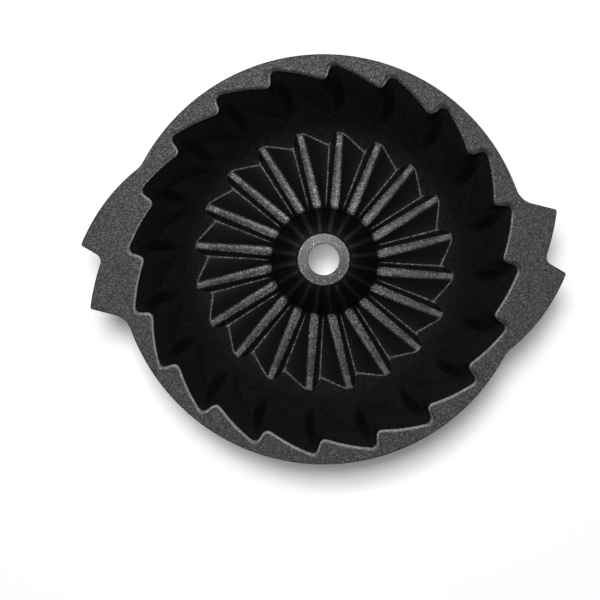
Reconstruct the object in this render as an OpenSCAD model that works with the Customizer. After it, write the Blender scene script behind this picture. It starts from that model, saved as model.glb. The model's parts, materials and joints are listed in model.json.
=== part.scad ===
// Cast ring cake pan: a fluted bowl with a pleated floor, a centre tube, a flat rim and two handles.
// Millimetres. The pan stands mouth up on the folds of its floor. The handles lie along X.

/* [Bowl] */
// Height from the table to the top of the rim
pan_h = 100; // [90:1:108]
// Metal thickness of the wall and the tube
wall_t = 3.5; // [3:0.1:4]
// Metal thickness of the pleated floor, measured straight down
floor_t = 4; // [3.5:0.1:5]
// How much is ground off the folds underneath, where the pan stands
stand_cut = 0.3; // [0.2:0.1:0.6]
// Lean of the wall from upright, in degrees
wall_draft = 17.5; // [15:0.5:20]
// Inside radius of the round corner between wall and floor
corner_r = 40; // [34:1:46]
// Lean of that corner from upright where the pleat valleys run into it, in degrees
foot_angle = 50; // [44:1:56]

/* [Flutes of the wall] */
// Number of flutes, which is also the number of floor pleats
flute_count = 20; // [16:1:22]
// How far the sharp tooth tips stand in from the roots at the mouth
flute_depth = 9.3; // [7.5:0.1:10.5]
// Height at which the flutes begin on the wall
flute_start_h = 30; // [27:1:34]
// Run of the rounding to either side of a tooth tip at the mouth
tip_round = 4.2; // [3:0.1:4.4]
// Run of the rounding to either side of a flute root
root_round = 3.9; // [2:0.1:4.2]

/* [Pleats of the floor] */
// Height of the ridge tops above the pleat valleys, at the wall
pleat_depth = 8; // [6:0.5:9]
// The same height at the foot of the tube
pleat_depth_in = 4.2; // [3:0.1:4.6]
// Width of a ridge top where it meets the wall
ridge_w = 4.4; // [3.6:0.1:5]
// Width of a ridge top at the foot of the tube
ridge_w_in = 6; // [5:0.1:6.2]
// How far the middle of a ridge's gentle edge bulges in plan
ridge_bow = 0.4; // [0:0.1:0.6]
// Plan width of a ridge's steep side at the wall
steep_w = 3.4; // [2.8:0.1:4]
// Plan width of a ridge's steep side at the foot of the tube
steep_w_in = 2.1; // [1.8:0.1:2.4]
// Run of the rounding to either side of a ridge edge
ridge_round = 1.2; // [0.6:0.1:1.4]
// Run of the rounding to either side of a valley line
valley_round = 0.7; // [0.4:0.1:1]

/* [Centre tube] */
// Height of the tube's top above the table
tube_h = 95; // [86:1:104]
// Outside diameter of the tube at its top
tube_top_d = 28.2; // [26:0.2:30]
// Outside diameter of the tube at the level of the ridge tops
tube_foot_d = 59.2; // [58:0.2:62]
// Diameter of the hole in the top of the tube
bore_d = 16.6; // [14:0.2:18]
// Thickness of the lip around that hole
lip_t = 3.5; // [2.5:0.1:5]
// Height of the tube's soft flutes at its foot
tube_flute_h = 1.2; // [0.6:0.1:1.6]

/* [Rim and handles] */
// Diameter of the round rim plate
rim_d = 215.8; // [200:0.2:236]
// Width of the rim plate where it is narrowest, at the roots of the flutes
rim_w = 5; // [4.4:0.1:8]
// Thickness of the rim plate and the handles
rim_t = 3.6; // [3:0.1:5]
// Rounding between the wall's outside and the underside of the rim
under_round_r = 1.2; // [0.6:0.1:2]
// How far the long point of a handle stands out from the rim
long_point_w = 20; // [14:0.2:26]
// How far the short point of a handle stands out from the rim
short_point_w = 17.6; // [12:0.2:22]
// How far the middle of a handle's long edge bulges beyond an even winding
long_edge_bow = 0.5; // [0:0.1:1]
// How far the notch between the points stands out from the rim
notch_w = 8.4; // [5:0.2:10]
// Run of the rounding to either side of a point
point_round_w = 1.3; // [0.8:0.1:1.6]
// Run of the rounding to either side of the notch
notch_round_w = 3.6; // [2:0.1:4]

/* [Hidden] */
$fn = 96;

// Angles. A pitch is one flute, and the steep edge of each ridge lies on its sector line.
pitch = 360 / flute_count;
first_ridge_angle = 12.85;
long_point_angle = -3.3;
short_point_angle = 12;
notch_angle = -0.4;
flank_angle = -26.9;
flank_swing_angle = 1.6;
heel_angle = 16.6;
heel_swing_angle = 3.3;
half_turn = 180;

// Levels
plate_z = pan_h - rim_t;
valley_z = floor_t - stand_cut;
ridge_z = valley_z + pleat_depth;
valley_z_in = ridge_z - pleat_depth_in;
lip_z = tube_h - lip_t;

// Radii
rim_r = rim_d / 2;
mouth_r = rim_r - rim_w;
under_r = min(under_round_r, rim_w * cos(wall_draft) - wall_t);
bore_r = bore_d / 2;
tube_top_r = tube_top_d / 2;
tube_foot_r = tube_foot_d / 2;
tube_lean = (tube_foot_r - tube_top_r) / (tube_h - ridge_z);
tube_skin = wall_t * sqrt(1 + tube_lean * tube_lean);

// The underside is turned against the inside, so that the steep sides keep their metal
wall_turn = 1.1;
floor_turn = -1.4;
hub_turn = -0.5;

// Flute lines at a height share up the flutes, as shares of the pitch from the sector line
root_low_share = 0.023;
root_top_share = 0.1625;
root_spread_share = 0.055;
root_spread_height_share = 0.12;
root_turn_height_share = 0.3;
crest_start_share = 0.144;
crest_rise_share = 0.4785;
crest_fall_share = 0.3795;
fade_start_share = 0.2;
fade_end_share = 1.1;
fade_height_share = 0.66;
fade_gap_share = 0.13;
tip_round_low_share = 0.25;
// Most of a flank's length that one rounding may take
round_limit_share = 0.45;
// How far the gentle side of a pleat sags below a straight slope
scoop_share = 0.14;
// How much of the bulge of its gentle edge each place of a pleat takes
bow_shares = [0, 0, 0, 0, 0, 0, 0.5, 1, 1, 0.5];
// Rows down the wall, from the rim plate to the start of the flutes, as shares of that height
wall_row_shares = [1, 0.9, 0.8, 0.7, 0.6, 0.48, 0.35, 0.22, 0.1, 0];
skin_row_shares = [0.75, 0.5, 0.25, 0];
// Rows of the rounding under the rim: how far down and how far out, as shares of its radius
under_row_shares = [[0, 1], [0.3, 0.3], [1, 0]];
// Rows on the plain wall below the flutes, as shares of the way down to the floor
corner_row_shares = [0.35, 0.7, 1];
skin_corner_row_shares = [0.5, 1];
// Rows across the floor, from the wall to the tube, and up the tube
floor_row_shares = [0, 0.35, 0.7, 1];
skin_floor_row_shares = [1, 0.5, 0];
tube_row_shares = [0, 0.2, 0.5, 1];

// Profile of the bowl: an upright line with draft, and a corner arc that leans by foot_angle at the valleys
corner_z = valley_z + corner_r * sin(foot_angle);
corner_axis_r = mouth_r - corner_r / cos(wall_draft) - (plate_z - corner_z) * tan(wall_draft);

// Radius of the plain bowl at a height, moved out by a skin thickness
function bowl_r(z, skin) =
    let (swing = corner_r + skin, drop = corner_z - z)
    drop < swing * sin(wall_draft)
        ? corner_axis_r + swing / cos(wall_draft) - drop * tan(wall_draft)
        : corner_axis_r + sqrt(swing * swing - drop * drop);

function mix(a, b, share) = a + (b - a) * share;
function ease(x) = let (t = max(0, min(1, x))) t * t * (3 - 2 * t);
function corner_mid(a, b, c) = (a + 2 * b + c) / 4;
function at_angle(r, angle, z) = [r * cos(angle), r * sin(angle), z];
function sector_angle(i, share, turn) = first_ridge_angle + pitch * (i + share) + turn;
function arc_share(run, r) = run / (r * PI / half_turn) / pitch;

// Flute lines at height share w: root, crest and the line where the gentle side fades into the bowl
function root_share(w) =
    mix(root_low_share, root_top_share, ease((w - root_turn_height_share) / (1 - root_turn_height_share)))
    + root_spread_share * pow(max(0, 1 - w / root_spread_height_share), 2);
function crest_share(w) = crest_start_share + crest_rise_share * w - crest_fall_share * w * w;
function fade_share(w) = min(mix(fade_start_share, fade_end_share, w / fade_height_share), 1 + root_share(w));

// Ten places round one flute at height share w: [share of the pitch, depth below the bowl]
function flute_places(w, r) =
    let (root = root_share(w),
         crest = crest_share(w),
         fade = fade_share(w),
         depth = flute_depth * w,
         arc = r * PI / half_turn * pitch,
         steep_run = norm([(crest - root) * arc, depth]),
         root_cut = min(round_limit_share, root_round / steep_run),
         tip_cut = min(round_limit_share, tip_round * mix(tip_round_low_share, 1, w) / steep_run),
         root_back = root_cut * steep_run / arc,
         tip_on = tip_cut * steep_run / arc,
         gentle = function (s) [s, depth * max(0, 1 - (s - crest) / (fade - crest))],
         last = 1 + root - root_back,
         end = min(fade, 1 + root - fade_gap_share),
         before_root = gentle(last) - [1, 0],
         after_root = mix([root, 0], [crest, depth], root_cut),
         before_tip = mix([root, 0], [crest, depth], 1 - tip_cut),
         after_tip = gentle(crest + tip_on))
    [before_root,
     corner_mid(before_root, [root, 0], after_root),
     after_root,
     before_tip,
     corner_mid(before_tip, [crest, depth], after_tip),
     after_tip,
     gentle(mix(crest + tip_on, end, 0.5)),
     gentle(end),
     gentle(mix(end, last, 1 / 3)),
     gentle(mix(end, last, 2 / 3))];

// The same ten places round one pleat of the floor: [share of the pitch, height]
function pleat_places(r, ridge_width, steep_width, low_z) =
    let (valley = arc_share(steep_width, r),
         far_edge = 1 - arc_share(ridge_width, r),
         cut = arc_share(ridge_round, r),
         drop = ridge_z - low_z,
         steep_run = norm([steep_width, drop]),
         edge_cut = min(round_limit_share, ridge_round / steep_run),
         valley_cut = min(round_limit_share, valley_round / steep_run),
         gentle_run = norm([(far_edge - valley) * r * PI / half_turn * pitch, drop]),
         gentle = function (u) [mix(valley, far_edge, u), low_z + drop * (u - 4 * scoop_share * u * (1 - u))],
         edge = [0, ridge_z],
         low = [valley, low_z],
         on_ridge = [-cut, ridge_z],
         down_edge = mix(edge, low, edge_cut),
         down_valley = mix(low, edge, valley_cut),
         up_valley = gentle(min(round_limit_share, valley_round / gentle_run)),
         up_edge = gentle(1 - min(round_limit_share, ridge_round / gentle_run)))
    [on_ridge,
     corner_mid(on_ridge, edge, down_edge),
     down_edge,
     down_valley,
     corner_mid(down_valley, low, up_valley),
     up_valley,
     gentle(0.5),
     up_edge,
     [far_edge + cut, ridge_z],
     [mix(far_edge, 1, 0.5), ridge_z]];

pleats_at_wall = pleat_places(bowl_r(ridge_z, 0), ridge_w, steep_w, valley_z);
pleats_at_tube = pleat_places(tube_foot_r, ridge_w_in, steep_w_in, valley_z_in);
ridge_middle_share = 1 - arc_share(ridge_w_in / 2, tube_foot_r);

// Radius of the tube at a height, with soft flutes that die out towards the lip
function tube_r(z) = tube_top_r + (tube_h - z) * tube_lean;
function tube_bump(share, z) =
    tube_flute_h * max(0, (lip_z - z) / (lip_z - ridge_z)) * (1 + cos(360 * (share - ridge_middle_share))) / 2;

// Rings of points, one ring for each row, round the whole pan
function wall_ring(w, skin, turn) =
    let (z = mix(flute_start_h, plate_z, w), r = bowl_r(z, skin), places = flute_places(w, bowl_r(z, 0)))
    [for (i = [0 : flute_count - 1]) for (p = places) at_angle(r - p[1], sector_angle(i, p[0], turn * w), z)];

function corner_ring(v, skin, drop, turn) =
    let (start = flute_places(0, bowl_r(flute_start_h, 0)))
    [for (i = [0 : flute_count - 1]) for (k = [0 : len(start) - 1])
        let (z = mix(flute_start_h, max(0, pleats_at_wall[k][1] - drop), v),
             share = mix(start[k][0], pleats_at_wall[k][0], ease(v)))
        at_angle(bowl_r(z, skin), sector_angle(i, share, turn * v), z)];

function tube_foot_ring(skin, drop, turn) =
    [for (i = [0 : flute_count - 1]) for (p = pleats_at_tube)
        let (z = p[1] - drop, bump = skin > 0 ? 0 : tube_bump(p[0], p[1]))
        at_angle(tube_r(z) - skin + bump, sector_angle(i, p[0], turn), z)];

function floor_ring(v, wall_end, tube_end, bow) =
    [for (k = [0 : len(wall_end) - 1])
        let (p = mix(wall_end[k], tube_end[k], v),
             swing = bow * bow_shares[k % len(bow_shares)] * 4 * v * (1 - v) / norm([p[0], p[1]]))
        p + [p[1], -p[0], 0] * swing];

function tube_ring(v) =
    [for (i = [0 : flute_count - 1]) for (p = pleats_at_tube)
        let (z = mix(p[1], lip_z, v))
        at_angle(tube_r(z) + tube_bump(p[0], z), sector_angle(i, p[0], 0), z)];

function flat_ring(r, z, turn) =
    [for (i = [0 : flute_count - 1]) for (p = pleats_at_tube) at_angle(r, sector_angle(i, p[0], turn), z)];

inside_foot = corner_ring(1, 0, 0, 0);
outside_foot = corner_ring(1, wall_t, floor_t, floor_turn);
inside_hub = tube_foot_ring(0, 0, 0);
outside_hub = tube_foot_ring(tube_skin, floor_t, hub_turn);
mouth_outline = [for (p = wall_ring(1, 0, 0)) [p[0], p[1]]];

// A solid skinned over rings that are closed round the pan and closed from last to first.
// Each four-sided face is cut along its shorter diagonal, so that neighbours share their faces.
module ring_loft(rings) {
    count = len(rings[0]);
    rows = len(rings);
    polyhedron(
        points = [for (ring = rings) for (p = ring) p],
        faces = [for (j = [0 : rows - 1]) for (i = [0 : count - 1])
            let (next_i = (i + 1) % count,
                 next_j = (j + 1) % rows,
                 a = j * count + i,
                 b = j * count + next_i,
                 c = next_j * count + next_i,
                 d = next_j * count + i,
                 cut_ac = norm(rings[j][i] - rings[next_j][next_i]) < norm(rings[j][next_i] - rings[next_j][i]))
            each (cut_ac ? [[a, d, c], [a, c, b]] : [[a, d, b], [b, d, c]])],
        convexity = 12);
}

module fluted_wall() {
    inside = [for (w = wall_row_shares) wall_ring(w, 0, 0)];
    inside_corner = [for (v = corner_row_shares) corner_ring(v, 0, 0, 0)];
    under = [for (s = under_row_shares)
        wall_ring(1 - s[0] * under_r / (plate_z - flute_start_h), wall_t + s[1] * under_r, wall_turn)];
    outside = [for (w = skin_row_shares) wall_ring(w, wall_t, wall_turn)];
    outside_corner = [for (v = skin_corner_row_shares) corner_ring(v, wall_t, floor_t, floor_turn)];
    down = concat(inside, inside_corner);
    up = concat(under, outside, outside_corner);
    color([0.10, 0.10, 0.105])
        ring_loft(concat(down, [for (k = [len(up) - 1 : -1 : 0]) up[k]]));
}

module pleated_floor() {
    inside = [for (v = floor_row_shares) floor_ring(v, inside_foot, inside_hub, ridge_bow)];
    outside = [for (v = skin_floor_row_shares) floor_ring(v, outside_foot, outside_hub, 0)];
    color([0.12, 0.12, 0.125])
        ring_loft(concat(inside, outside));
}

module centre_tube() {
    outside = [for (v = tube_row_shares) tube_ring(v)];
    hollow_top = flat_ring(tube_r(lip_z) - tube_skin, lip_z, 0);
    color([0.11, 0.11, 0.115])
        ring_loft(concat(outside, [hollow_top, outside_hub]));
}

module tube_lip() {
    color([0.42, 0.42, 0.42])
        rotate_extrude()
            polygon([[bore_r, lip_z], [tube_r(lip_z), lip_z], [tube_top_r, tube_h], [bore_r, tube_h]]);
}

// Points of a round corner at b, that starts a given run before it on the way from a, and ends as far after
corner_steps = 8;
function rounded(a, b, c, run) =
    let (u = (a - b) / norm(a - b),
         v = (c - b) / norm(c - b),
         w = min(run, norm(a - b), norm(c - b)),
         open = acos(u * v),
         r = w * tan(open / 2),
         centre = b + (u + v) / norm(u + v) * r / sin(open / 2),
         from = b + u * w - centre,
         side = sign(u[0] * v[1] - u[1] * v[0]))
    [for (k = [0 : corner_steps])
        let (t = -side * (half_turn - open) * k / corner_steps)
        centre + [from[0] * cos(t) - from[1] * sin(t), from[0] * sin(t) + from[1] * cos(t)]];

function polar(r, angle) = [r * cos(angle), r * sin(angle)];
function winding(from_r, to_r, from_angle, to_angle, steps, bow) =
    [for (k = [0 : steps])
        let (s = k / steps)
        polar(mix(from_r, to_r, s) + bow * 4 * s * (1 - s), mix(from_angle, to_angle, s))];

// Outline of the right handle. A long edge winds out of the rim to the long point, a short one winds out of the
// notch to the short point, and the back edge runs from there to the heel, where the handle meets the rim again.
long_steps = 14;
short_steps = 6;
long_edge = winding(rim_r / cos(flank_swing_angle), rim_r + long_point_w,
    flank_angle, long_point_angle, long_steps, long_edge_bow);
short_edge = winding(rim_r + notch_w, rim_r + short_point_w,
    notch_angle, short_point_angle, short_steps, 0);
long_point = long_edge[long_steps];
notch = short_edge[0];
short_point = short_edge[short_steps];
heel = polar(rim_r / cos(heel_swing_angle), heel_angle);
start = polar(rim_r, flank_angle - flank_swing_angle);
finish = polar(rim_r, heel_angle + heel_swing_angle);
handle_outline = concat(
    rounded(start, long_edge[0], long_edge[1], rim_r * tan(flank_swing_angle)),
    [for (k = [1 : long_steps - 1]) long_edge[k]],
    rounded(long_edge[long_steps - 1], long_point, notch, point_round_w),
    rounded(long_point, notch, short_edge[1], notch_round_w),
    [for (k = [1 : short_steps - 1]) short_edge[k]],
    rounded(short_edge[short_steps - 1], short_point, heel, point_round_w),
    rounded(short_point, heel, finish, rim_r * tan(heel_swing_angle)),
    [polar(mouth_r, heel_angle), polar(mouth_r, notch_angle), polar(mouth_r, flank_angle)]);

module handle() {
    color([0.29, 0.29, 0.29])
        translate([0, 0, plate_z])
            linear_extrude(height = rim_t)
                difference() {
                    polygon(handle_outline);
                    circle(r = rim_r);
                }
}

module right_handle() {
    handle();
}

module left_handle() {
    rotate([0, 0, half_turn]) handle();
}

module rim_plate() {
    color([0.29, 0.29, 0.29])
        translate([0, 0, plate_z])
            linear_extrude(height = rim_t)
                difference() {
                    circle(r = rim_r);
                    polygon(mouth_outline);
                }
}

rim_plate();
left_handle();
right_handle();
fluted_wall();
pleated_floor();
centre_tube();
tube_lip();
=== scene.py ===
"""Dresses a cast ring cake pan: a fluted bowl with a pleated floor, a tube, a flat rim and two handles."""

import json
import math

import bpy
import numpy as np
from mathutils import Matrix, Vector


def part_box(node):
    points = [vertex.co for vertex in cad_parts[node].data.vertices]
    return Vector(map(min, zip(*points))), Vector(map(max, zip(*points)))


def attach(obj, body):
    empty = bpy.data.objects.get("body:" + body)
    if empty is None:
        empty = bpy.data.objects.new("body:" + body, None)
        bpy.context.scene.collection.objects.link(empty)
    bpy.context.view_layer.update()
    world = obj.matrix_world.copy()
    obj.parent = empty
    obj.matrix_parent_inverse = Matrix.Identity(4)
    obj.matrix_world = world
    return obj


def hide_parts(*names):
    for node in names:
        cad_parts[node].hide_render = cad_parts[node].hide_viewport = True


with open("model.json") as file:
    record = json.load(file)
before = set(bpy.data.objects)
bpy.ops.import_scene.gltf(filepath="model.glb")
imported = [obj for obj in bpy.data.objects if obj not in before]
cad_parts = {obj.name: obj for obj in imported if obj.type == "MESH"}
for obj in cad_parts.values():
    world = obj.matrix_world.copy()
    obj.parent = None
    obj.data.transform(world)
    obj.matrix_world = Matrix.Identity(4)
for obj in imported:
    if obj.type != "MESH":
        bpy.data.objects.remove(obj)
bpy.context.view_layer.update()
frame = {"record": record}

bl_info = {
    "name": "Fluted ring cake pan",
    "version": (1, 0, 0),
    "blender": (4, 5, 0),
    "location": "3D View > Sidebar > Cake pan",
    "description": "Builds a cast ring cake pan with a speckled non-stick coat around its construction model",
    "category": "Add Mesh",
}

MM = 0.001
BODY = "root"


def mount_dims(name):
    """The stated sizes of one of the record's mounts."""
    return next(m["dims"] for m in frame["record"]["mounts"] if m["name"] == name)


RIM_LOW, RIM_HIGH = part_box("rim_plate")
LIP_LOW, LIP_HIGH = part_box("tube_lip")


def length(name, description, default, low=0.0, high=1.0):
    """A size in metres that shows in the scene's own unit."""
    return bpy.props.FloatProperty(
        name=name, description=description, default=default, min=low, max=high, precision=5, unit="LENGTH"
    )


def turn(name, description, default):
    """An angle, given in degrees and kept in radians."""
    return bpy.props.FloatProperty(
        name=name, description=description, default=math.radians(default), subtype="ANGLE", unit="ROTATION"
    )


def tint(name, description, default):
    """A colour that a user may pick."""
    return bpy.props.FloatVectorProperty(
        name=name, description=description, default=default, size=3, min=0.0, max=1.0, subtype="COLOR"
    )


class CakePanBowl(bpy.types.PropertyGroup):
    """Sizes of the plain bowl, its rim and its tube."""

    pan_h: length("Height", "From the table to the top of the rim", RIM_HIGH[2])
    rim_t: length("Rim thickness", "Of the rim plate and the handles", RIM_HIGH[2] - RIM_LOW[2])
    rim_r: length("Rim radius", "Of the round rim plate", RIM_HIGH[1])
    wall_t: length("Wall", "Metal thickness of the wall and the tube", 3.5 * MM)
    floor_t: length("Floor", "Metal thickness of the floor, straight down", 4 * MM)
    stand_cut: length("Stand cut", "Ground off the folds underneath", 0.3 * MM)
    rim_w: length("Rim width", "Where the rim plate is narrowest, at the roots of the flutes", 5 * MM)
    wall_draft: turn("Draft", "Lean of the wall from upright", 17.5)
    corner_r: length("Corner radius", "Inside, between wall and floor", 40 * MM)
    foot_angle: turn("Foot lean", "Of the corner, from upright, where the pleat valleys run into it", 50)
    tube_h: length("Tube height", "From the table to the tube's top", LIP_HIGH[2])
    lip_t: length("Lip thickness", "Around the hole in the tube's top", LIP_HIGH[2] - LIP_LOW[2])
    tube_top_r: length("Tube top radius", "Outside, at the top", 14.1 * MM)
    tube_foot_r: length("Tube foot radius", "Outside, at the level of the ridge tops", 29.6 * MM)
    bore_r: length("Bore radius", "Of the hole in the tube's top", mount_dims("tube_bore")["r_mm"] * MM)
    tube_flute: length("Tube flutes", "Height of the soft flutes at the tube's foot", 1.2 * MM)


class CakePanFlutes(bpy.types.PropertyGroup):
    """Sizes of the flutes in the wall and the pleats in the floor."""

    count: bpy.props.IntProperty(
        name="Flutes", description="Round the wall, and as many pleats in the floor", default=20, min=3
    )
    start_angle: turn("Start", "Angle of the first ridge's steep edge", 12.85)
    flute_depth: length("Flute depth", "Of the sharp tooth tips at the mouth", 9.3 * MM)
    flute_start_h: length("Flute start", "Height at which the flutes begin", 30 * MM)
    tip_round: length("Tip rounding", "To either side of a tooth tip at the mouth", 4.2 * MM)
    root_round: length("Root rounding", "To either side of a root", 3.9 * MM)
    pleat_depth: length("Pleat depth", "At the wall", 8 * MM)
    pleat_depth_in: length("Inner pleat depth", "At the foot of the tube", 4.2 * MM)
    ridge_w: length("Ridge width", "Of a ridge top at the wall", 4.4 * MM)
    ridge_w_in: length("Inner ridge width", "Of a ridge top at the foot of the tube", 6 * MM)
    ridge_bow: length("Ridge bow", "How far the middle of a ridge's gentle edge bulges", 0.4 * MM)
    steep_w: length("Steep side", "Plan width of a ridge's steep side at the wall", 3.4 * MM)
    steep_w_in: length("Inner steep side", "The same at the foot of the tube", 2.1 * MM)
    ridge_round: length("Ridge rounding", "To either side of a ridge edge", 1.3 * MM)
    valley_round: length("Valley rounding", "To either side of a valley line", 1.0 * MM)
    wall_turn: turn("Outer turn", "Of the outside against the inside at the mouth", 1.1)
    floor_turn: turn("Under turn", "Of the underside against the floor, at the wall", -1.4)
    hub_turn: turn("Hub turn", "Of the underside against the floor, at the tube", -0.5)


class CakePanEdges(bpy.types.PropertyGroup):
    """Small roundings that the casting and its coat leave on every edge."""

    mouth_edge: length("Mouth edge", "Rounding between the rim's face and the mouth", 0.9 * MM)
    root_edge: length("Root edge", "The same at the roots of the flutes", 1.4 * MM)
    root_run: length("Root run", "How far along the mouth the roots' rounding reaches", 4.5 * MM)
    rim_edge: length("Rim edge", "Rounding of the rim's and the handles' outer edges", 0.5 * MM)
    foot_fillet: length("Foot fillet", "Run of the fillet between wall and floor", 1.8 * MM)
    hub_fillet: length("Hub fillet", "Run of the fillet between floor and tube", 1.4 * MM)
    # The floor's coat darkens there by painted shade towards the tube
    hub_shade: length("Hub shade", "How far from the tube the floor's coat begins to darken", 5 * MM)
    under_fillet: length("Under fillet", "Between the outer wall and the rim's underside", 1.2 * MM)
    lip_edge: length("Lip edge", "Rounding of the tube's top edge", 0.7 * MM)
    bore_edge: length("Bore edge", "Rounding of the hole's edge", 0.4 * MM)
    point_run: length("Point rounding", "Run of the rounding at a handle's points", 1.3 * MM)
    notch_run: length("Notch rounding", "Run of the rounding at the bottom of a notch", 3.6 * MM)
    flank: turn("Flank", "Angle at which a handle's long edge would meet the rim", -26.9)
    flank_swing: turn("Flank swing", "Angle over which the rim runs into that edge", 1.6)
    long_point: turn("Long point", "Angle of a handle's long point", -3.3)
    notch: turn("Notch", "Angle of the notch", -0.4)
    short_point: turn("Short point", "Angle of a handle's short point", 12)
    heel: turn("Heel", "Angle at which a handle's back edge would meet the rim", 16.6)
    heel_swing: turn("Heel swing", "Angle over which that edge runs into the rim", 3.3)
    long_out: length("Long reach", "How far the long point stands out from the rim", 20 * MM)
    short_out: length("Short reach", "How far the short point stands out from the rim", 17.6 * MM)
    long_bow: length("Long bow", "How far the middle of a handle's long edge bulges", 0.5 * MM)
    notch_out: length("Notch depth", "How far the notch stands out from the rim", 8.4 * MM)


class CakePanFinish(bpy.types.PropertyGroup):
    """Colours and grain of the non-stick coat."""

    coat: tint("Coat", "The graphite coat between its flakes", (0.004, 0.004, 0.004))
    flake: tint("Flake", "The pale flakes in the coat", (0.091, 0.091, 0.089))
    # Colour of the painted highlights on edges, ridge tops and tube streaks, and of the thin coat on crisp
    # edges
    burnish_and_highlight: tint("Burnish", "The coat where it is thin, along crisp edges", (0.30, 0.30, 0.29))
    floor: tint("Floor", "The pale studio floor", (0.93, 0.93, 0.93))
    grain: length("Grain", "Size of the coat's speckle", 0.6 * MM)
    sparkle: length("Sparkle", "Size of single flakes", 0.45 * MM)


# Plain maths of the form


def mix(a, b, part):
    """The value a given part of the way from a to b."""
    return a + (b - a) * part


def ease(x):
    """Runs from 0 to 1 with a level start and end."""
    t = min(1.0, max(0.0, x))
    return t * t * (3 - 2 * t)


def fading(x, run):
    """Falls from 1 to 0 as x runs from 0 to run."""
    return max(0.0, 1 - x / run)


def curve(a, b, c, count):
    """Points on the round corner from a to c that is pulled towards b, without the last one."""
    t = np.arange(count)[:, None] / count
    return (1 - t) ** 2 * a + 2 * t * (1 - t) * b + t**2 * c


def line(a, b, count):
    """Points on a straight line from a to b, without the last one."""
    t = np.arange(count)[:, None] / count
    return a + (b - a) * t


def pair(x, y):
    """Two numbers as an array."""
    return np.array([x, y], dtype=float)


# Points round one flute: root corner, steep flank, tip corner, gentle side and the rest of it. A pleat has as
# many: the ridge's steep edge, steep side, valley, gentle side, far edge and ridge top
ROOT_STEPS, FLANK_STEPS, TIP_STEPS, GENTLE_STEPS, EDGE_STEPS, TOP_STEPS = 6, 4, 7, 10, 4, 3
COLUMNS = ROOT_STEPS + FLANK_STEPS + TIP_STEPS + GENTLE_STEPS + EDGE_STEPS + TOP_STEPS

# A flute's lines in shares of the pitch, and heights in shares of the flutes' height. The root spreads at its
# foot and turns from a height on, the crest runs on a parabola, and the gentle side ends at the fade line.
ROOT_LOW, ROOT_TOP, ROOT_TURN_HEIGHT = 0.023, 0.1625, 0.3
ROOT_SPREAD, ROOT_SPREAD_HEIGHT = 0.055, 0.12
CREST_START, CREST_RISE, CREST_FALL = 0.144, 0.4785, 0.3795
FADE_START, FADE_END, FADE_HEIGHT, FADE_GAP = 0.2, 1.1, 0.66, 0.13
# What the tips' rounding keeps at the foot, the share of a side that a rounding may take, half the share of
# the gentle side over which it meets the bowl, and how much the gentle side of a pleat sags
TIP_ROUND_LOW, ROUND_LIMIT, CREASE_SOFTNESS, SAG = 0.25, 0.45, 0.14, 0.56


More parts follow.
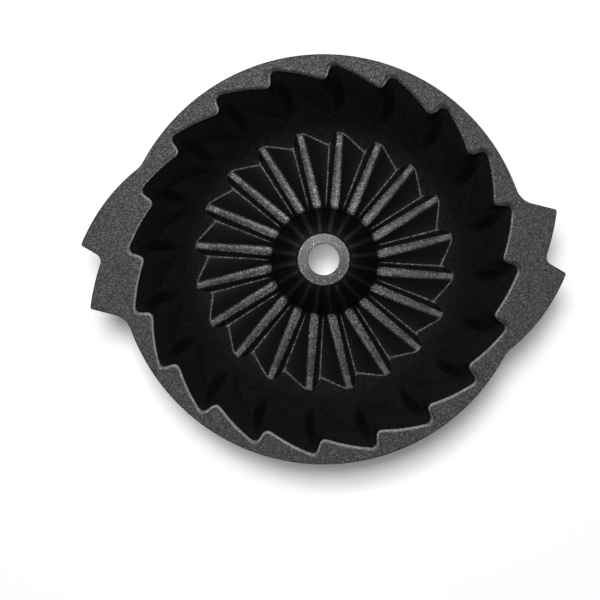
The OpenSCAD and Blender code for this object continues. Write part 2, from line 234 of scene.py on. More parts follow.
class Form:
    """The pan's surfaces as functions of where they are, in metres."""

    def __init__(self, scene):
        self.b, self.f, self.e = scene.cake_pan_bowl, scene.cake_pan_flutes, scene.cake_pan_edges
        b, f = self.b, self.f
        self.pitch = 2 * math.pi / f.count
        self.plate_z = b.pan_h - b.rim_t
        self.valley_z = b.floor_t - b.stand_cut
        self.ridge_z = self.valley_z + f.pleat_depth
        self.valley_z_in = self.ridge_z - f.pleat_depth_in
        self.lip_z = b.tube_h - b.lip_t
        self.tube_lean = (b.tube_foot_r - b.tube_top_r) / (b.tube_h - self.ridge_z)
        self.tube_skin = b.wall_t * math.hypot(1, self.tube_lean)
        self.mouth_r = b.rim_r - b.rim_w
        self.corner_z = self.valley_z + b.corner_r * math.sin(b.foot_angle)
        below_plate = (self.plate_z - self.corner_z) * math.tan(b.wall_draft)
        self.corner_axis_r = self.mouth_r - b.corner_r / math.cos(b.wall_draft) - below_plate
        self.foot_r = self.corner_axis_r + b.corner_r * math.cos(b.foot_angle)
        self.pleats_at_wall = self.pleat(self.bowl_r(self.ridge_z), f.ridge_w, f.steep_w, self.valley_z)
        self.pleats_at_tube = self.pleat(b.tube_foot_r, f.ridge_w_in, f.steep_w_in, self.valley_z_in)
        self.ridge_middle = 1 - f.ridge_w_in / 2 / b.tube_foot_r / self.pitch

    def bowl_r(self, z, skin=0.0):
        """Radius of the plain bowl at a height, moved out by a skin thickness."""
        swing = self.b.corner_r + skin
        drop = self.corner_z - np.asarray(z, dtype=float)
        draft = self.b.wall_draft
        straight = self.corner_axis_r + swing / math.cos(draft) - drop * math.tan(draft)
        arc = self.corner_axis_r + np.sqrt(np.maximum(swing**2 - drop**2, 0))
        return np.where(drop < swing * math.sin(draft), straight, arc)

    def flute(self, w):
        """Share of the pitch and distance in from the bowl at each column, w of the way up the flutes."""
        f = self.f
        r = float(self.bowl_r(mix(f.flute_start_h, self.plate_z, w)))
        root = mix(ROOT_LOW, ROOT_TOP, ease((w - ROOT_TURN_HEIGHT) / (1 - ROOT_TURN_HEIGHT)))
        root += ROOT_SPREAD * fading(w, ROOT_SPREAD_HEIGHT) ** 2
        crest = CREST_START + CREST_RISE * w - CREST_FALL * w * w
        fade_line = mix(FADE_START, FADE_END, w / FADE_HEIGHT)
        fade = min(fade_line, 1 + root)
        depth = f.flute_depth * w
        arc = r * self.pitch
        steep = math.hypot((crest - root) * arc, depth)
        root_cut = min(ROUND_LIMIT, f.root_round / steep)
        tip_cut = min(ROUND_LIMIT, f.tip_round * mix(TIP_ROUND_LOW, 1, w) / steep)
        tip_on = tip_cut * steep / arc
        last = 1 + root - root_cut * steep / arc
        end = min(fade, 1 + root - FADE_GAP)
        soft = min(CREASE_SOFTNESS, max(0.0, 1 + root - fade_line) / (fade - crest) / 2)

        def gentle(s):
            x = 1 - (s - crest) / (fade - crest)
            ramp = np.maximum(x, 0)
            if soft > 0:
                ramp = np.where(abs(x) < soft, (x + soft) ** 2 / (4 * soft), ramp)
            return np.stack([s, depth * ramp], axis=-1)

        before_root = gentle(np.array(last)) - pair(1, 0)
        after_root = mix(pair(root, 0), pair(crest, depth), root_cut)
        before_tip = mix(pair(root, 0), pair(crest, depth), 1 - tip_cut)
        after_tip = gentle(np.array(crest + tip_on))
        rest = EDGE_STEPS + TOP_STEPS
        return np.concatenate([
            curve(before_root, pair(root, 0), after_root, ROOT_STEPS),
            line(after_root, before_tip, FLANK_STEPS),
            curve(before_tip, pair(crest, depth), after_tip, TIP_STEPS),
            gentle(mix(crest + tip_on, end, np.arange(GENTLE_STEPS) / GENTLE_STEPS)),
            gentle(mix(end, last, np.arange(rest) / rest)),
        ])

    def pleat(self, r, ridge_width, steep_width, low_z):
        """Share of the pitch and height at each column, across one pleat of the floor."""
        f = self.f
        arc = float(r) * self.pitch
        drop = self.ridge_z - low_z
        valley, far = steep_width / arc, 1 - ridge_width / arc
        cut = f.ridge_round / arc
        steep = math.hypot(steep_width, drop)
        edge_cut = min(ROUND_LIMIT, f.ridge_round / steep)
        valley_cut = min(ROUND_LIMIT, f.valley_round / steep)
        slope = math.hypot((far - valley) * arc, drop)

        def gentle(u):
            return np.stack([mix(valley, far, u), low_z + drop * (u - SAG * u * (1 - u))], axis=-1)

        edge, low, far_edge = pair(0, self.ridge_z), pair(valley, low_z), pair(far, self.ridge_z)
        on_ridge = pair(-cut, self.ridge_z)
        down_edge, down_valley = mix(edge, low, edge_cut), mix(low, edge, valley_cut)
        first, final = f.valley_round / slope, 1 - f.ridge_round / slope
        after_far = pair(far + cut, self.ridge_z)
        return np.concatenate([
            curve(on_ridge, edge, down_edge, ROOT_STEPS),
            line(down_edge, down_valley, FLANK_STEPS),
            curve(down_valley, low, gentle(np.array(first)), TIP_STEPS),
            gentle(mix(first, final, np.arange(GENTLE_STEPS) / GENTLE_STEPS)),
            curve(gentle(np.array(final)), far_edge, after_far, EDGE_STEPS),
            line(after_far, pair(1 - cut, self.ridge_z), TOP_STEPS),
        ])

    def angles(self, shares, turned=0.0):
        """The angle of every column round the whole pan, from its share of a pitch."""
        sectors = np.arange(self.f.count)[:, None]
        return (self.f.start_angle + self.pitch * (sectors + np.asarray(shares)[None, :]) + turned).ravel()

    def ring(self, r, shares, z, turned=0.0):
        """A closed ring of points, from one pitch's radii, shares and heights."""
        angle = self.angles(shares, turned)
        radius = np.tile(np.broadcast_to(r, shares.shape), self.f.count)
        height = np.tile(np.broadcast_to(z, shares.shape), self.f.count)
        return np.stack([radius * np.cos(angle), radius * np.sin(angle), height], axis=-1)

    def wall_ring(self, w, skin=0.0, turned=0.0):
        """A ring on the fluted wall at height share w."""
        z = mix(self.f.flute_start_h, self.plate_z, w)
        places = self.flute(w)
        return self.ring(self.bowl_r(z, skin) - places[:, 1], places[:, 0], z, turned * w)

    def corner_ring(self, v, skin=0.0, drop=0.0, turned=0.0):
        """A ring on the plain corner below the flutes, v of the way down to the pleats."""
        start, pleats = self.flute(0), self.pleats_at_wall
        z = mix(self.f.flute_start_h, np.maximum(0, pleats[:, 1] - drop), v)
        return self.ring(self.bowl_r(z, skin), mix(start[:, 0], pleats[:, 0], ease(v)), z, turned * v)

    def floor_ring(self, foot, hub, v):
        """A ring on the floor, v of the way from the wall to the tube, with the gentle edges bowed."""
        rise, fall = np.arange(GENTLE_STEPS) / GENTLE_STEPS, 1 - np.arange(TOP_STEPS) / TOP_STEPS
        steep_side = np.zeros(ROOT_STEPS + FLANK_STEPS + TIP_STEPS)
        shares = np.concatenate([steep_side, rise, np.ones(EDGE_STEPS), fall])
        p = mix(foot, hub, v)
        bow = self.f.ridge_bow * 4 * v * (1 - v)
        swing = bow * np.tile(shares, self.f.count) / np.hypot(p[:, 0], p[:, 1])
        return p + np.stack([p[:, 1], -p[:, 0], 0 * swing], axis=-1) * swing[:, None]

    def tube_r(self, z):
        """Radius of the plain tube at a height."""
        return self.b.tube_top_r + (self.b.tube_h - z) * self.tube_lean

    def tube_bump(self, shares, z):
        """How far the soft flutes stand out from the tube."""
        fade = np.maximum(0, (self.lip_z - z) / (self.lip_z - self.ridge_z))
        return self.b.tube_flute * fade * (1 + np.cos(2 * math.pi * (shares - self.ridge_middle))) / 2

    def tube_ring(self, v):
        """A ring on the outside of the tube, v of the way up to the lip."""
        p = self.pleats_at_tube
        z = mix(p[:, 1], self.lip_z, v)
        return self.ring(self.tube_r(z) + self.tube_bump(p[:, 0], z), p[:, 0], z)

    def hub_under(self):
        """The ring under the foot of the tube."""
        p = self.pleats_at_tube
        z = p[:, 1] - self.b.floor_t
        return self.ring(self.tube_r(z) - self.tube_skin, p[:, 0], z, self.f.hub_turn)

    def hollow_top(self):
        """The ring at the top of the tube's hollow, under the lip."""
        p = self.pleats_at_tube
        return self.ring(self.tube_r(self.lip_z) - self.tube_skin, p[:, 0], self.lip_z)


# Rows of the inside, from the mouth down the wall, across the floor and up the tube, and rows of the outside
WALL_ROWS, CORNER_ROWS, FLOOR_ROWS, HUB_ROWS, TUBE_ROWS, FILLET_ROWS = 46, 18, 15, 7, 22, 6
OUTER_WALL_ROWS, OUTER_CORNER_ROWS, OUTER_FLOOR_ROWS, HOLLOW_ROWS = 22, 10, 8, 12

# How far the flat ridge tops lean aside at their edges, and outwards all along, as light sees them
RIDGE_CROWN, RIDGE_LEAN = math.radians(10), math.radians(3.5)
# The column at which a ridge top starts, counted from a flute's end, and shares of the crown from there on
RIDGE_START = -TOP_STEPS - 1
CROWN_SHARES = (-1.0, -0.6, 0.0, 0.6, 1.0, 1.0)

# Painted light of the coat: 0 where it is plain, up to 1 for a painted highlight, below 0 for painted shade.
# By column: the painted highlight of a valley line and of a ridge top, the painted shade of a flute's hollow;
# and the painted highlight of the crease of wall and floor
VALLEY_HIGHLIGHT = (0.1, 0.35, 0.7, 0.8, 0.7, 0.35, 0.1)
RIDGE_HIGHLIGHT = (0.10, 0.32, 0.21, 0.18, 0.25, 0.40, 0.15)
HOLLOW_SHADE = (0.4, 0.7, 1.0, 1.0, 1.0, 0.9, 0.5)
CREASE_HIGHLIGHT = 0.6
# Rows over which a valley line fades up the wall, the crease fades and a ridge top sets in
VALLEY_RUN, CREASE_RUN, RIDGE_RUN = 3, 1.1, 4
# A hollow's shade starts this share of the wall's rows below the mouth, and a lower power makes it fuller
HOLLOW_GAP, HOLLOW_POWER = 0.1, 0.6
# The most of a valley line that the floor shows, its loss towards the tube, and the ridge tops' gain
VALLEY_MOST, VALLEY_LOSS, RIDGE_GAIN = 0.8, 0.5, (0.2, 1.6)
# The round ends of the ridge tops at the tube, as shares of the hub's shade: depth, shift and softness
END_DEPTH, END_SHIFT, END_SOFTNESS = 0.9, 0.25, 0.3
# Painted highlight streaks on the tube's flutes: strength, power across, and start, rise and run as shares of
# the tube's height
STREAK_HIGHLIGHT, STREAK_POWER, STREAK_START, STREAK_RISE, STREAK_RUN = 0.26, 1.2, 0.02, 0.06, 0.75
# The painted light of the band below the lip, and the painted highlights on the flutes' feet: strength, power
# across and run
BAND_LIGHT, BAND_RUN = 0.11, 0.3
FEET_HIGHLIGHT, FEET_POWER, FEET_RUN = 0.9, 3, 0.06


def across_flute(first, values):
    """A value for each column of a flute: those given, from column first on and round its end, and else 0."""
    columns = np.zeros(COLUMNS)
    columns[(first + np.arange(len(values))) % COLUMNS] = values
    return columns


def fillet(before, corner, after):
    """Rings that round off the corner between two surfaces, ends left out."""
    t = (np.arange(1, FILLET_ROWS + 1) / (FILLET_ROWS + 1))[:, None, None]
    return (1 - t) ** 2 * before + 2 * t * (1 - t) * corner + t**2 * after


# The least length that a normal is divided by
LEAST_LENGTH = 1e-12


def surface_normals(grid, outward):
    """Unit normals of a grid of closed rings that run inwards and anticlockwise, upwards for outward 1."""
    along = np.gradient(grid, axis=0)
    around = (np.roll(grid, -1, axis=1) - np.roll(grid, 1, axis=1)) / 2
    n = np.cross(around, along)
    return outward * n / np.maximum(np.linalg.norm(n, axis=-1, keepdims=True), LEAST_LENGTH)


class Shell:
    """The bowl's inside and outside as two grids of rings, and the rows at which its regions meet."""

    def __init__(self, form):
        self.build_inside(form)
        self.inside_normals = surface_normals(self.inside, 1)
        self.crown_ridges()
        self.light_and_wear = self.paint_light_and_wear(form)
        self.build_outside(form)
        self.outside_normals = surface_normals(self.outside, -1)

    def build_inside(self, form):
        """The wall's inside, the floor and the tube's outside, from the mouth inwards and up to the lip."""
        e, f, b = form.e, form.f, form.b
        foot, hub = form.corner_ring(1), form.tube_ring(0)
        corner_len = f.flute_start_h - form.valley_z
        floor_len = form.foot_r - b.tube_foot_r
        tube_len = form.lip_z - form.ridge_z
        wall = [form.wall_ring(w) for w in np.linspace(1, 0, WALL_ROWS, endpoint=False)]
        corner = [form.corner_ring(v) for v in np.linspace(0, 1 - e.foot_fillet / corner_len, CORNER_ROWS)]
        near_hub = 1 - e.hub_shade / floor_len
        floor_shares = (*np.linspace(e.foot_fillet / floor_len, near_hub, FLOOR_ROWS, endpoint=False),
                        *np.linspace(near_hub, 1 - e.hub_fillet / floor_len, HUB_ROWS))
        floor = [form.floor_ring(foot, hub, v) for v in floor_shares]
        tube = [form.tube_ring(v) for v in np.linspace(e.hub_fillet / tube_len, 1, TUBE_ROWS)]
        foot_rows, hub_rows = fillet(corner[-1], foot, floor[0]), fillet(floor[-1], hub, tube[0])
        self.inside = np.concatenate([wall, corner, foot_rows, floor, hub_rows, tube])
        self.foot = len(wall) + len(corner) + FILLET_ROWS // 2
        self.hub = self.foot + FILLET_ROWS + len(floor)

    def build_outside(self, form):
        """The wall's outside, the floor's underside and the tube's hollow, in the same order."""
        e, f, b = form.e, form.f, form.b
        skin, drop, under = b.wall_t, b.floor_t, f.floor_turn
        foot, hub = form.corner_ring(1, skin, drop, under), form.hub_under()
        top = form.wall_ring(1, skin, f.wall_turn)
        top_r = form.bowl_r(form.plate_z, skin)
        spread = float((top_r + e.under_fillet) / top_r)
        flare = top * (spread, spread, 1.0)
        floor_len = form.foot_r - b.tube_foot_r
        start = 1 - e.under_fillet / (form.plate_z - f.flute_start_h)
        stop = 1 - e.foot_fillet / f.flute_start_h
        on_floor, off_floor = e.foot_fillet / floor_len, 1 - e.hub_fillet / floor_len
        in_hollow = e.hub_fillet / (form.lip_z - form.ridge_z)
        wall_shares = np.linspace(start, 0, OUTER_WALL_ROWS, endpoint=False)
        wall = [form.wall_ring(w, skin, f.wall_turn) for w in wall_shares]
        corner = [form.corner_ring(v, skin, drop, under) for v in np.linspace(0, stop, OUTER_CORNER_ROWS)]
        floor = [mix(foot, hub, v) for v in np.linspace(on_floor, off_floor, OUTER_FLOOR_ROWS)]
        hollow = [mix(hub, form.hollow_top(), v) for v in np.linspace(in_hollow, 1, HOLLOW_ROWS)]
        flare_rows = fillet(flare, top, wall[0])
        foot_rows, hub_rows = fillet(corner[-1], foot, floor[0]), fillet(floor[-1], hub, hollow[0])
        self.outside = np.concatenate([[flare], flare_rows, wall, corner, foot_rows, floor, hub_rows, hollow])
        self.outer_foot = 1 + FILLET_ROWS + len(wall) + len(corner) + FILLET_ROWS // 2
        self.outer_hub = self.outer_foot + FILLET_ROWS + len(floor)

    def crown_ridges(self):
        """Lets light see the ridge tops slightly crowned and leaning outwards, as the cast ones are."""
        rows = slice(self.foot + FILLET_ROWS, self.hub - FILLET_ROWS // 2)
        across = across_flute(RIDGE_START, CROWN_SHARES) * math.sin(RIDGE_CROWN)
        on_top = across_flute(RIDGE_START, np.ones(len(CROWN_SHARES))) * math.sin(RIDGE_LEAN)
        points = self.inside[rows]
        out = points * (1, 1, 0) / np.linalg.norm(points[..., :2], axis=-1, keepdims=True)
        aside = np.stack([-out[..., 1], out[..., 0], 0 * out[..., 0]], axis=-1)
        flutes = self.inside.shape[1] // COLUMNS
        across, on_top = (np.tile(a, flutes)[:, None] for a in (across, on_top))
        normals = self.inside_normals[rows] + aside * across + out * on_top
        self.inside_normals[rows] = normals / np.linalg.norm(normals, axis=-1, keepdims=True)

    def paint_light_and_wear(self, form):
        """Each point's painted light: highlights on valleys, ridge tops, crease and tube streaks, shade in
        hollows and at the hub.
        """
        low = ROOT_STEPS + FLANK_STEPS
        valley, ridge = across_flute(low, VALLEY_HIGHLIGHT), across_flute(RIDGE_START, RIDGE_HIGHLIGHT)
        crease = across_flute(low + 2, np.full(COLUMNS - low + 1, CREASE_HIGHLIGHT))
        hollow = across_flute(-1, HOLLOW_SHADE)
        on_flute = np.clip(np.cos(2 * math.pi * (form.pleats_at_tube[:, 0] - form.ridge_middle)), 0, 1)
        streak, feet = STREAK_HIGHLIGHT * on_flute**STREAK_POWER, FEET_HIGHLIGHT * on_flute**FEET_POWER
        light_and_wear = np.zeros(self.inside.shape[:2])
        floor_rows, tube_rows = self.hub - self.foot, len(light_and_wear) - 1 - self.hub
        for row in range(len(light_and_wear)):
            past_crease = row - self.foot
            if row < self.foot:
                # Wall: painted highlight of the valley lines, painted shade in the flutes' hollows
                down_flute = np.clip((1 + HOLLOW_GAP) * row / WALL_ROWS - HOLLOW_GAP, 0, 1)
                shade = hollow * math.sin(math.pi * down_flute) ** HOLLOW_POWER
                lines = valley * fading(-past_crease, VALLEY_RUN) - shade
            elif row < self.hub:
                # Floor: painted highlights of the valley lines and ridge tops
                inward = past_crease / floor_rows
                from_tube = (np.hypot(*self.inside[row, 0, :2]) - form.b.tube_foot_r) / form.e.hub_shade
                off_hub = np.clip(from_tube, 0, 1)
                lines = valley * min(VALLEY_MOST, 1 - VALLEY_LOSS * inward) * off_hub
                ends = np.clip((from_tube + END_SHIFT - END_DEPTH * (1 - on_flute)) / END_SOFTNESS, 0, 1)
                tops = ridge * mix(*RIDGE_GAIN, inward) * min(1.0, (past_crease + 1) / RIDGE_RUN) * ends
                # Away from the ridge tops, painted shade darkens the floor near the tube
                lines = np.where(ridge > 0, tops, lines - (1 - off_hub))
            else:
                # Tube: painted highlight streaks on its flutes, a lighter painted band below the lip, painted
                # highlights at the flutes' feet
                down = 1 - (row - self.hub) / tube_rows
                lines = streak * min(1.0, (down + STREAK_START) / STREAK_RISE) * fading(down, STREAK_RUN)
                lines += BAND_LIGHT * fading(down, BAND_RUN)
                lines = np.maximum(lines, feet * fading(1 - down, FEET_RUN))
            # Painted highlight along the crease of wall and floor
            if abs(past_crease) < CREASE_RUN:
                lines = np.maximum(lines, crease * (1 - abs(past_crease) / CREASE_RUN))
            light_and_wear[row] = np.tile(lines, form.f.count)
        return light_and_wear


# Per point: painted highlight and thin coat above 0, painted shade below 0
LIGHT_AND_WEAR = "light_and_wear"
# The painted light and wear of a point before its faces raise it, and the decimals of a metre to which points
# are one
DARKEST, SEAM_DECIMALS = -1.0, 8


def quads(grid):
    """The four corners of every face between neighbouring rows of a grid."""
    return [grid[:-1, :-1], grid[:-1, 1:], grid[1:, 1:], grid[1:, :-1]]


class Skin:
    """Collects faces with a normal at every corner, so that neighbouring pieces shade as one casting."""

    def __init__(self):
        self.corners, self.normals, self.counts, self.worn_and_lit = [], [], [], []

    def rings(self, grid, normals, worn_and_lit=None, closed=True):
        """Four-sided faces between rows of points, wound the way the normals face, with each point's painted
        light and wear.
        """
        worn_and_lit = np.zeros(grid.shape[:2]) if worn_and_lit is None else worn_and_lit
        if closed:
            grid, normals, worn_and_lit = (np.concatenate([g, g[:, :1]], axis=1) for g in (grid, normals, worn_and_lit))
        quad, shade, light_and_wear = quads(grid), quads(normals), quads(worn_and_lit)
        facing = (np.cross(quad[2] - quad[0], quad[3] - quad[1]) * (shade[0] + shade[2])).sum()
        order = (0, 1, 2, 3) if facing > 0 else (3, 2, 1, 0)
        for store, corners in ((self.corners, quad), (self.normals, shade), (self.worn_and_lit, light_and_wear)):
            store.append(np.stack([corners[i] for i in order], axis=2).reshape(-1, *corners[0].shape[2:]))
        self.counts += [len(order)] * light_and_wear[0].size

    def strip(self, first, second, facing, closed=True):
        """A flat-shaded band between two rows of points, whose faces look along facing."""
        grid = np.stack([first, second])
        self.rings(grid, np.broadcast_to(facing, grid.shape), None, closed)

    def flat(self, outline, normal):
        """One flat face with any number of corners."""
        outline, normal = np.asarray(outline), np.asarray(normal, dtype=float)
        spin = np.cross(outline, np.roll(outline, -1, axis=0)).sum(axis=0)
        if spin @ normal < 0:
            outline = outline[::-1]
        self.corners.append(outline)
        self.normals.append(np.broadcast_to(normal, outline.shape))
        self.worn_and_lit.append(np.zeros(len(outline)))
        self.counts.append(len(outline))

    def piece(self, name, material, slot, *nodes):
        """Makes the object, closes its seams and lets it stand for the named nodes."""
        corners, normals = np.concatenate(self.corners), np.concatenate(self.normals)
        points, index = np.unique(np.round(corners, SEAM_DECIMALS), axis=0, return_inverse=True)
        ends = np.cumsum(self.counts)
        faces = [index.ravel()[end - n:end].tolist() for n, end in zip(self.counts, ends)]
        mesh = bpy.data.meshes.new(name)
        mesh.from_pydata(points.tolist(), [], faces)
        if mesh.validate(verbose=False):
            raise RuntimeError(f"{name} has faces that fold onto themselves")
        mesh.shade_smooth()
        mesh.normals_split_custom_set(normals.tolist())
        # Each point keeps the highest painted light of the faces round it
        light_and_wear = np.full(len(points), DARKEST)
        np.maximum.at(light_and_wear, index.ravel(), np.concatenate(self.worn_and_lit))
        mesh.attributes.new(LIGHT_AND_WEAR, "FLOAT", "POINT").data.foreach_set("value", light_and_wear)
        mesh.materials.append(material)
        ob = bpy.data.objects.new(name, mesh)
        bpy.context.scene.collection.objects.link(ob)
        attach(ob, BODY)
        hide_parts(*nodes)
        return ob


# Materials


class Value:
    """A shader socket that adds, subtracts and multiplies by making Math nodes."""

    def __init__(self, maker, socket):
        self.maker, self.socket = maker, socket

    def maths(self, operation, *values):
        """The result of a Math node on values and plain numbers."""
        return self.maker.node("ShaderNodeMath", {"operation": operation}, dict(enumerate(values)))

    def __add__(self, other):
        return self.maths("ADD", self, other)

    def __radd__(self, other):
        return self.maths("ADD", other, self)

    def __sub__(self, other):
        return self.maths("SUBTRACT", self, other)

    def __rsub__(self, other):
        return self.maths("SUBTRACT", other, self)

    def __mul__(self, other):
        return self.maths("MULTIPLY", self, other)

    def __rmul__(self, other):
        return self.maths("MULTIPLY", other, self)

    def at_least(self, low):
        """The value itself, or low where it is less."""
        return self.maths("MAXIMUM", self, low)

    def between(self, low, high):
        """0 below low, 1 above high and a smooth run between them."""
        inputs = {"Value": self, "From Min": low, "From Max": high}
        return self.maker.node("ShaderNodeMapRange", {"interpolation_type": "SMOOTHSTEP"}, inputs)


# The Mix node's sockets for two colours and their mixture, which share their names with others
COLOUR_A, COLOUR_B, COLOUR_OUT = 6, 7, 2


class Finish:
    """One material and the nodes that it is made of."""

    def __init__(self, name):
        self.material = bpy.data.materials.new(name)
        self.material.use_nodes = True
        self.tree = self.material.node_tree
        self.tree.nodes.clear()

    def node(self, kind, settings=None, inputs=None, output=0):
        """Adds a node of any kind: settings first, then the values or links of its sockets."""
        made = self.tree.nodes.new(kind)
        for key, value in (settings or {}).items():
            setattr(made, key, value)
        for key, value in (inputs or {}).items():
            if isinstance(value, Value):
                self.tree.links.new(value.socket, made.inputs[key])
            else:
                made.inputs[key].default_value = value
        return Value(self, made.outputs[output]) if made.outputs else None

    def noise(self, place, scale, detail, roughness):
        """Fractal noise about one half."""
        inputs = {"Vector": place, "Scale": scale, "Detail": detail, "Roughness": roughness}
        return self.node("ShaderNodeTexNoise", {}, inputs)

    def colours(self, part, a, b):
        """A colour part of the way from a to b, where each is a colour or a link."""
        inputs = {"Factor": part, COLOUR_A: a, COLOUR_B: b}
        return self.node("ShaderNodeMix", {"data_type": "RGBA"}, inputs, COLOUR_OUT)

    def out(self, shader):
        """Links a shader to the material's output."""
        self.node("ShaderNodeOutputMaterial", {}, {"Surface": shader})
        return self.material


def rgba(colour):
    """A picked colour with full alpha."""
    return (*colour, 1.0)


# Detail and roughness of the fine grain and of the broad clouds, and clouds to the metre
GRAIN_NOISE, CLOUD_NOISE, CLOUDS_PER_METRE = (2.0, 0.6), (3.0, 0.55), 30.0
# Levels of the grain between which the speckle sets in, and the share of the flakes that is usually dull
SPECKLE_LEVELS, USUAL_RARE = (0.38, 0.66), 0.5
# Shares of speckle and flakes in the pale mask of the whole coat, and the least and the spread of its clouds
COAT_SPECKLE, COAT_FLAKES, CLOUD_LEAST, CLOUD_SPREAD = 0.45, 0.65, 0.8, 0.4
# The same in a pale place of painted highlight and thin coat, with what shows there anyhow, and what shows
# on average where it has no grit
PALE_SPECKLE, PALE_FLAKES, PALE_LEAST, PALE_LEVEL = 0.3, 2.6, 0.05, 0.85
# What speckle and clouds add to the roughness, and what flakes take off
SPECKLE_ROUGH, CLOUD_ROUGH, FLAKE_POLISH = 0.10, 0.04, 0.16
# Height and strength of the coat's bumps, and the parts that grain and flakes have in them
BUMP_HEIGHT, BUMP_STRENGTH, BUMP_GRAIN, BUMP_FLAKES = 0.05 * MM, 0.4, 0.7, 0.3


def coat(name, flakes_share, rough, shine, grit=1.0, rare=USUAL_RARE, polish=0.0):
    """Graphite non-stick coat: a dark binder with fine pale flakes, pale where the mesh paints highlights and
    thin coat.

    Painted shade hides flakes; pale places are speckled by grit, smoothed by polish. The share rare of flakes
    is dull.
    """
    look = bpy.context.scene.cake_pan_finish
    m = Finish(name)
    place = m.node("ShaderNodeTexCoord", output="Object")
    grain = m.noise(place, 1 / look.grain, *GRAIN_NOISE)
    cells = m.node("ShaderNodeTexVoronoi", {}, {"Vector": place, "Scale": 1 / look.sparkle}, "Color")
    spark = m.node("ShaderNodeSeparateColor", {}, {"Color": cells})
    clouds = m.noise(place, CLOUDS_PER_METRE, *CLOUD_NOISE)
    # The mesh's painted light: painted highlight and thin coat above 0, painted shade below 0
    light_and_wear = m.node("ShaderNodeAttribute", {"attribute_name": LIGHT_AND_WEAR}, output="Fac")
    speckle = grain.between(*SPECKLE_LEVELS)
    bright = spark.between(rare, 1.0) * ((1 - USUAL_RARE) / (1 - rare))
    # Painted shade below 0 takes the pale flakes away
    shade = (light_and_wear + 1).between(0.0, 1.0)
    mask = (speckle * COAT_SPECKLE + bright * COAT_FLAKES) * (clouds * CLOUD_SPREAD + CLOUD_LEAST)
    coated = m.colours(mask * shade * flakes_share, rgba(look.coat), rgba(look.flake))
    spots = (speckle * PALE_SPECKLE + bright * PALE_FLAKES + PALE_LEAST) * grit + PALE_LEVEL * (1 - grit)
    thin_and_lit = light_and_wear.at_least(0.0)
    roughness = rough + speckle * SPECKLE_ROUGH - bright * FLAKE_POLISH + clouds * CLOUD_ROUGH - thin_and_lit * polish
    bumps = grain * BUMP_GRAIN + spark * BUMP_FLAKES
    bump = {"Strength": BUMP_STRENGTH, "Distance": BUMP_HEIGHT, "Height": bumps}
    # The base colour turns pale where highlights are painted and where the coat is thin
    inputs = {
        "Base Color": m.colours(thin_and_lit * spots, coated, rgba(look.burnish_and_highlight)),
        "Roughness": roughness,
        "Metallic": 0.0,
        "Specular IOR Level": shine,
        "Normal": m.node("ShaderNodeBump", {}, bump),
    }
    return m.out(m.node("ShaderNodeBsdfPrincipled", {}, inputs))


# One operator for each piece or pair of pieces


# Steps of the roundings: an outer edge's corners in section, the mouth's edge, the lip's and the bore's
BEAD_STEPS, MOUTH_STEPS, LIP_STEPS, BORE_STEPS = 5, 6, 6, 4
# Points along each half of the rim's outer edge and along a handle's seam with it
RIM_POINTS, SEAM_POINTS = 150, 60


def edge_profile(form):
    """The outer edge in section: how far out from the inset line, how high, and which way it faces."""
    r, turns = form.e.rim_edge, np.arange(BEAD_STEPS + 1) / BEAD_STEPS
    upper = [(form.b.pan_h, -1, math.pi / 2 * turn) for turn in turns]
    lower = [(form.plate_z, 1, math.pi / 2 * (1 - turn)) for turn in turns]
    return [(r * math.sin(a), z + side * r * (1 - math.cos(a)), math.sin(a), -side * math.cos(a))
            for z, side, a in upper + lower]


def bead(skin, form, inset, outward):
    """The rounded outer edge along plan points with their outward directions, and its two flat ends."""
    profile = edge_profile(form)
    grid = np.array([raised(inset + outward * out, z) for out, z, _, _ in profile])
    skin.rings(grid, np.array([raised(outward * level, up) for _, _, level, up in profile]), closed=False)
    for side, sign in ((0, -1.0), (-1, 1.0)):
        skin.flat(grid[:, side], np.array([-outward[side][1], outward[side][0], 0.0]) * sign)
    return grid


def raised(plan, z):
    """Points in plan at one height, or directions in plan with one rise."""
    return np.concatenate([plan, np.full((len(plan), 1), z)], axis=1)


def plan_circle(r, angles):
    """Points in plan on a circle."""
    return np.stack([r * np.cos(angles), r * np.sin(angles)], axis=1)


def radial(ring):
    """Unit vectors that point away from the axis at every point of a ring."""
    return raised(plan_circle(1.0, np.arctan2(ring[:, 1], ring[:, 0])), 0.0)


UP, DOWN = np.array([0.0, 0.0, 1.0]), np.array([0.0, 0.0, -1.0])
# How far the rim's face leans towards the mouth at its edge, as light sees it
MOUTH_DOME = math.radians(12)
# Rings of the rim's face beside the mouth: how far from it in roundings of its edge, share of the lean,
# painted shade on the side away from the light and painted highlight on the lit side, and share of the
# painted shade at the roots
MOUTH_FACE = (
    (1.2, 0.7, -1.0, 0.6, 1.0),
    (1.55, 0.35, -0.9, 0.25, 0.5),
    (2.0, 0.0, -0.2, 0.0, 0.0),
)
# The mouth's edge gets a painted highlight where it faces this way, towards the lamps
LIT_SIDE = np.array([0.3, 0.954])
# That highlight: the least, what the lit side adds, the most, and how fast it sets in round the edge
MOUTH_LEAST, MOUTH_GAIN, MOUTH_MOST, MOUTH_RISE = 0.12, 1.45, 1.05, 1.4
# Painted shade: what the edge loses on the side away from the light and at the roots, and how dark the face
# is there
DULL_LOSS, ROOT_LOSS, ROOT_SHADE = 0.3, 0.6, 0.4


